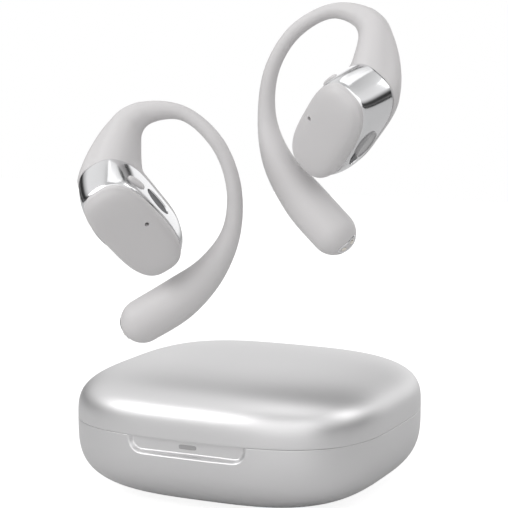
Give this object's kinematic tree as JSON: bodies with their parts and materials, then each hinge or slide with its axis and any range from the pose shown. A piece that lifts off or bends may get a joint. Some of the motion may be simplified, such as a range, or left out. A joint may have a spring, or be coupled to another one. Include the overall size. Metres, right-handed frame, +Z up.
{
  "type": "ear-hook earphones with a charging case",
  "caption": "Pair of open-ear hook earphones with springy silicone-sleeved hooks, over a closed pebble charging case with a hinged lid.",
  "frame": {"origin": "centre of the charging case's flat foot, on the surface it stands on", "axes": "+X to the case's right seen from its front, +Y to the back where the lid hinge is, +Z up"},
  "size_m": [0.1152, 0.1466, 0.1355],
  "materials": {
    "satin_silver": "metallic paint, satin",
    "tray_grey": "fine spark-eroded matt",
    "soft_grey": "soft-touch silicone, warm light grey",
    "mirror_chrome": "plated plastic, mirror",
    "dark_mesh": "fine woven mesh, dark",
    "spring_wire": "drawn wire",
    "driver_steel": "pressed can",
    "circuit_green": "solder resist",
    "cell_foil": "pouch foil",
    "port_steel": "drawn shell",
    "light_pipe": "frosted light pipe",
    "switch_black": "moulded",
    "block_black": "moulded",
    "magnet_nickel": "nickel plate",
    "hinge_steel": "pressed and tumbled",
    "button_silver": "satin paint",
    "gold_contact": "gold flash"
  },
  "bodies": {
    "case_base": {"base_shell": "satin_silver", "tray": "tray_grey", "battery_pouch": "cell_foil", "charge_board": "circuit_green", "usb_socket": "port_steel", "status_light": "light_pipe", "switch_board": "circuit_green", "tact_switch": "switch_black", "left_pin_block": "block_black", "right_pin_block": "block_black", "base_magnet_left": "magnet_nickel", "base_magnet_right": "magnet_nickel", "base_hinge_leaf": "hinge_steel", "hinge_pin": "hinge_steel"},
    "lid": {"lid_shell": "satin_silver", "lid_liner": "tray_grey", "lid_magnet_left": "magnet_nickel", "lid_magnet_right": "magnet_nickel", "lid_hinge_leaf": "hinge_steel"},
    "pairing_button": {"pairing_button": "button_silver"},
    "left_charge_pin_a": {"left_charge_pin_a": "gold_contact"},
    "left_charge_pin_b": {"left_charge_pin_b": "gold_contact"},
    "right_charge_pin_a": {"right_charge_pin_a": "gold_contact"},
    "right_charge_pin_b": {"right_charge_pin_b": "gold_contact"},
    "left_bud": {"left_touch_cover": "soft_grey", "left_plated_band": "mirror_chrome", "left_ear_cover": "soft_grey", "left_speaker_driver": "driver_steel", "left_main_board": "circuit_green", "left_loop_grille": "dark_mesh", "left_control_pad": "soft_grey", "left_outlet_grille": "dark_mesh", "left_arm_sleeve": "soft_grey", "left_arm_wire": "spring_wire", "left_face_mic": "dark_mesh"},
    "left_hook": {"left_hook_sleeve": "soft_grey", "left_hook_wire": "spring_wire", "left_bud_battery": "cell_foil", "left_contact_plate": "mirror_chrome", "left_contact_pad_a": "gold_contact", "left_contact_pad_b": "gold_contact"},
    "right_bud": {"right_touch_cover": "soft_grey", "right_plated_band": "mirror_chrome", "right_ear_cover": "soft_grey", "right_speaker_driver": "driver_steel", "right_main_board": "circuit_green", "right_loop_grille": "dark_mesh", "right_control_pad": "soft_grey", "right_outlet_grille": "dark_mesh", "right_arm_sleeve": "soft_grey", "right_arm_wire": "spring_wire", "right_face_mic": "dark_mesh"},
    "right_hook": {"right_hook_sleeve": "soft_grey", "right_hook_wire": "spring_wire", "right_bud_battery": "cell_foil", "right_contact_plate": "mirror_chrome", "right_contact_pad_a": "gold_contact", "right_contact_pad_b": "gold_contact"}
  },
  "joints": [
    {"name": "lid_hinge", "type": "hinge", "parent": "case_base", "child": "lid", "pos_m": [0, 0.0407, 0.02061], "axis": [-1, 0, 0], "range_deg": [0, 95]},
    {"name": "pairing_button_press", "type": "slide", "parent": "case_base", "child": "pairing_button", "axis": [0, 0, -1], "range_m": [0, 0.0005], "stiffness_N_per_m": 400, "springref_m": -0.0003},
    {"name": "left_pin_a_travel", "type": "slide", "parent": "case_base", "child": "left_charge_pin_a", "axis": [0, 0, -1], "range_m": [0, 0.0008], "stiffness_N_per_m": 300, "springref_m": -0.0005},
    {"name": "left_pin_b_travel", "type": "slide", "parent": "case_base", "child": "left_charge_pin_b", "axis": [0, 0, -1], "range_m": [0, 0.0008], "stiffness_N_per_m": 300, "springref_m": -0.0005},
    {"name": "right_pin_a_travel", "type": "slide", "parent": "case_base", "child": "right_charge_pin_a", "axis": [0, 0, -1], "range_m": [0, 0.0008], "stiffness_N_per_m": 300, "springref_m": -0.0005},
    {"name": "right_pin_b_travel", "type": "slide", "parent": "case_base", "child": "right_charge_pin_b", "axis": [0, 0, -1], "range_m": [0, 0.0008], "stiffness_N_per_m": 300, "springref_m": -0.0005},
    {"name": "left_lift", "type": "slide", "parent": "case_base", "child": "left_bud", "axis": [0, 0, 1], "range_m": [0, 0.05]},
    {"name": "left_flex", "type": "hinge", "parent": "left_bud", "child": "left_hook", "pos_m": [0.02968, -0.07982, 0.10143], "axis": [0.4765, -0.7307, -0.4888], "range_deg": [-3, 22], "stiffness_Nm_per_rad": 0.08},
    {"name": "right_lift", "type": "slide", "parent": "case_base", "child": "right_bud", "axis": [0, 0, 1], "range_m": [0, 0.05]},
    {"name": "right_flex", "type": "hinge", "parent": "right_bud", "child": "right_hook", "pos_m": [0.0406, -0.06763, 0.12679], "axis": [0.3441, 0.871, 0.3507], "range_deg": [-3, 22], "stiffness_Nm_per_rad": 0.08}
  ]
}
